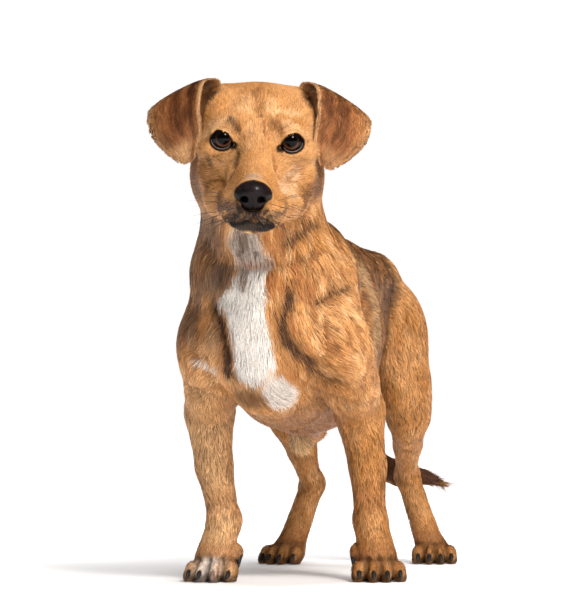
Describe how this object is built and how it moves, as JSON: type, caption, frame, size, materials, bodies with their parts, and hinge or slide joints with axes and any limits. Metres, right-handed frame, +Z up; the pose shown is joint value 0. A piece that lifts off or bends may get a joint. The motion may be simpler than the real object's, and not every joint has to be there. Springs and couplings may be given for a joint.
{
  "type": "dog",
  "caption": "Small short-legged smooth-coated dog with folded drop ears, standing square on four legs with its head turned slightly to its left. Still, life-size model.",
  "frame": {"origin": "middle of the whole dog's footprint, at floor level", "axes": "+Z up, -Y the way the body faces, +X the dog's left"},
  "size_m": [0.1792, 0.5276, 0.377],
  "materials": {
    "coat": "short smooth fur, golden tan, darker over the back and ears, white on the chest",
    "nose_leather": "moist, fine-grained black",
    "eye": "wet, dark brown iris",
    "claw": "horn, nearly black, satin"
  },
  "bodies": {
    "root": {"head": "coat", "nose": "nose_leather", "eye_left": "eye", "eye_right": "eye", "ear_left": "coat", "ear_right": "coat", "neck": "coat", "trunk": "coat", "tail": "coat", "foreleg_left": "coat", "forepaw_left": "coat", "claw_foreleg_left_1": "claw", "claw_foreleg_left_2": "claw", "claw_foreleg_left_3": "claw", "claw_foreleg_left_4": "claw", "claw_foreleg_left_5": "claw", "foreleg_right": "coat", "forepaw_right": "coat", "claw_foreleg_right_1": "claw", "claw_foreleg_right_2": "claw", "claw_foreleg_right_3": "claw", "claw_foreleg_right_4": "claw", "claw_foreleg_right_5": "claw", "hindleg_left": "coat", "hindpaw_left": "coat", "claw_hindleg_left_1": "claw", "claw_hindleg_left_2": "claw", "claw_hindleg_left_3": "claw", "claw_hindleg_left_4": "claw", "hindleg_right": "coat", "hindpaw_right": "coat", "claw_hindleg_right_1": "claw", "claw_hindleg_right_2": "claw", "claw_hindleg_right_3": "claw", "claw_hindleg_right_4": "claw"}
  },
  "joints": []
}
